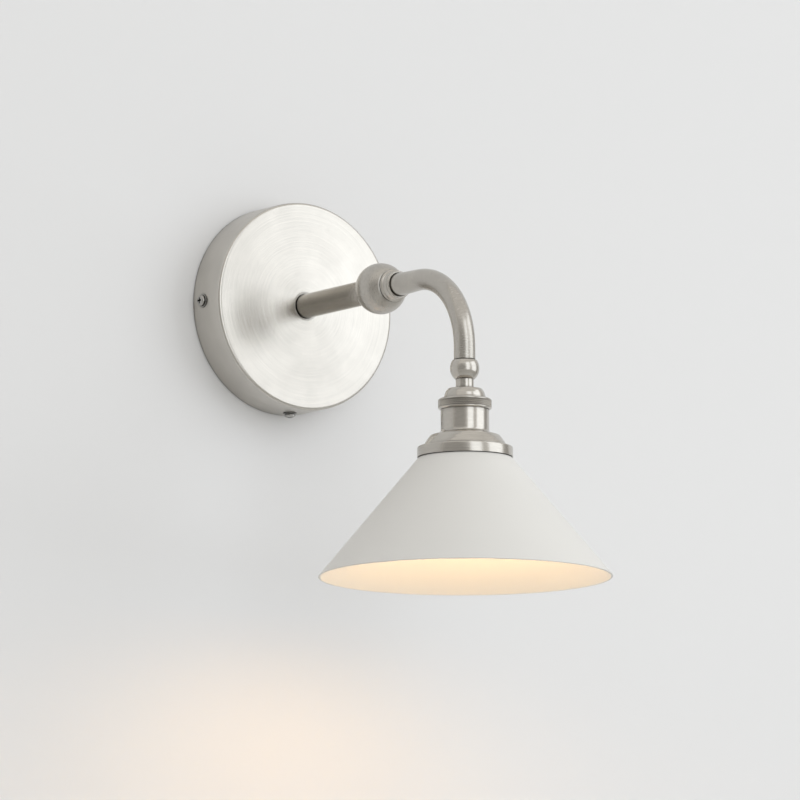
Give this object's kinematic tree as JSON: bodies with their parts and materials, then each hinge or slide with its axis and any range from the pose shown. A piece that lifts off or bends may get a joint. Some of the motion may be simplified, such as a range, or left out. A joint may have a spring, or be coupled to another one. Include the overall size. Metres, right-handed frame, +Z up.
{
  "type": "wall lamp",
  "caption": "Wall lamp with a round backplate, straight arm, ball swivel, swan-neck elbow, metal lampholder and a wide cone shade pointing down.",
  "frame": {"origin": "centre of the backplate's rear face, on the wall, on the arm's axis", "axes": "+Z up, the arm stands out from the wall along -Y, +X to the right of someone who faces the wall"},
  "size_m": [0.164, 0.264, 0.233],
  "materials": {
    "satin_nickel": "satin",
    "zinc_steel": "satin",
    "brass": "satin",
    "grey_rubber": "matte",
    "ivory_plastic": "satin",
    "green_insulation": "satin",
    "brown_insulation": "satin",
    "blue_insulation": "satin",
    "grey_sheath": "matte",
    "shade_paint": "matte",
    "white_plastic": "satin",
    "opal_glass": "satin",
    "dark_plastic": "gloss"
  },
  "bodies": {
    "root": {"wall_bracket": "zinc_steel", "cable_grommet": "grey_rubber", "backplate_cover": "satin_nickel", "cover_screws": "zinc_steel", "cover_washers": "zinc_steel", "terminal_block": "ivory_plastic", "terminal_sleeves": "brass", "terminal_screws": "zinc_steel", "block_screws": "zinc_steel", "earth_screw": "brass", "earth_tag": "brass", "earth_lead": "green_insulation", "arm_tube": "satin_nickel", "arm_insert": "brass", "arm_nipple": "brass", "star_washer": "zinc_steel", "arm_nut": "brass", "arm_flex": "grey_sheath", "live_core_base": "brown_insulation", "neutral_core_base": "blue_insulation", "pivot_ball": "satin_nickel", "stop_pin": "zinc_steel"},
    "head": {"swivel_stud": "brass", "friction_washer": "zinc_steel", "swivel_collar": "satin_nickel", "elbow_tube": "satin_nickel", "elbow_flex": "grey_sheath", "neck_ball": "satin_nickel", "neck_nipple": "satin_nickel", "holder_cap": "satin_nickel", "holder_shell": "satin_nickel", "gallery": "satin_nickel", "gallery_ring": "zinc_steel", "socket_insulator": "white_plastic", "screw_shell": "brass", "centre_contact": "brass", "contact_screws": "zinc_steel", "live_core_head": "brown_insulation", "neutral_core_head": "blue_insulation"},
    "holder_ring": {"knurled_ring": "satin_nickel"},
    "shade": {"shade": "shade_paint"},
    "shade_ring": {"shade_ring": "white_plastic"},
    "bulb": {"bulb_glass": "opal_glass", "bulb_cap": "zinc_steel", "bulb_insulator": "dark_plastic", "bulb_contact": "brass"}
  },
  "joints": [
    {"name": "head_swivel", "type": "hinge", "parent": "root", "child": "head", "pos_m": [0, -0.101, 0], "axis": [0, -1, 0], "range_deg": [-165, 165]},
    {"name": "holder_ring_turn", "type": "hinge", "parent": "head", "child": "holder_ring", "pos_m": [0, -0.182, -0.076], "axis": [0, 0, -1], "range_deg": [0, 720]},
    {"name": "shade_lower", "type": "slide", "parent": "head", "child": "shade", "axis": [0, 0, -1], "range_m": [0, 0.004]},
    {"name": "shade_ring_turn", "type": "hinge", "parent": "shade", "child": "shade_ring", "pos_m": [0, -0.182, -0.109], "axis": [0, 0, -1], "range_deg": [0, 720]},
    {"name": "bulb_out", "type": "slide", "parent": "head", "child": "bulb", "axis": [0, 0, -1], "range_m": [0, 0.028]}
  ],
  "couplings": [
    {"joint": "shade_ring_turn", "follows": "shade_lower", "rad_per_m": 3141.6}
  ]
}
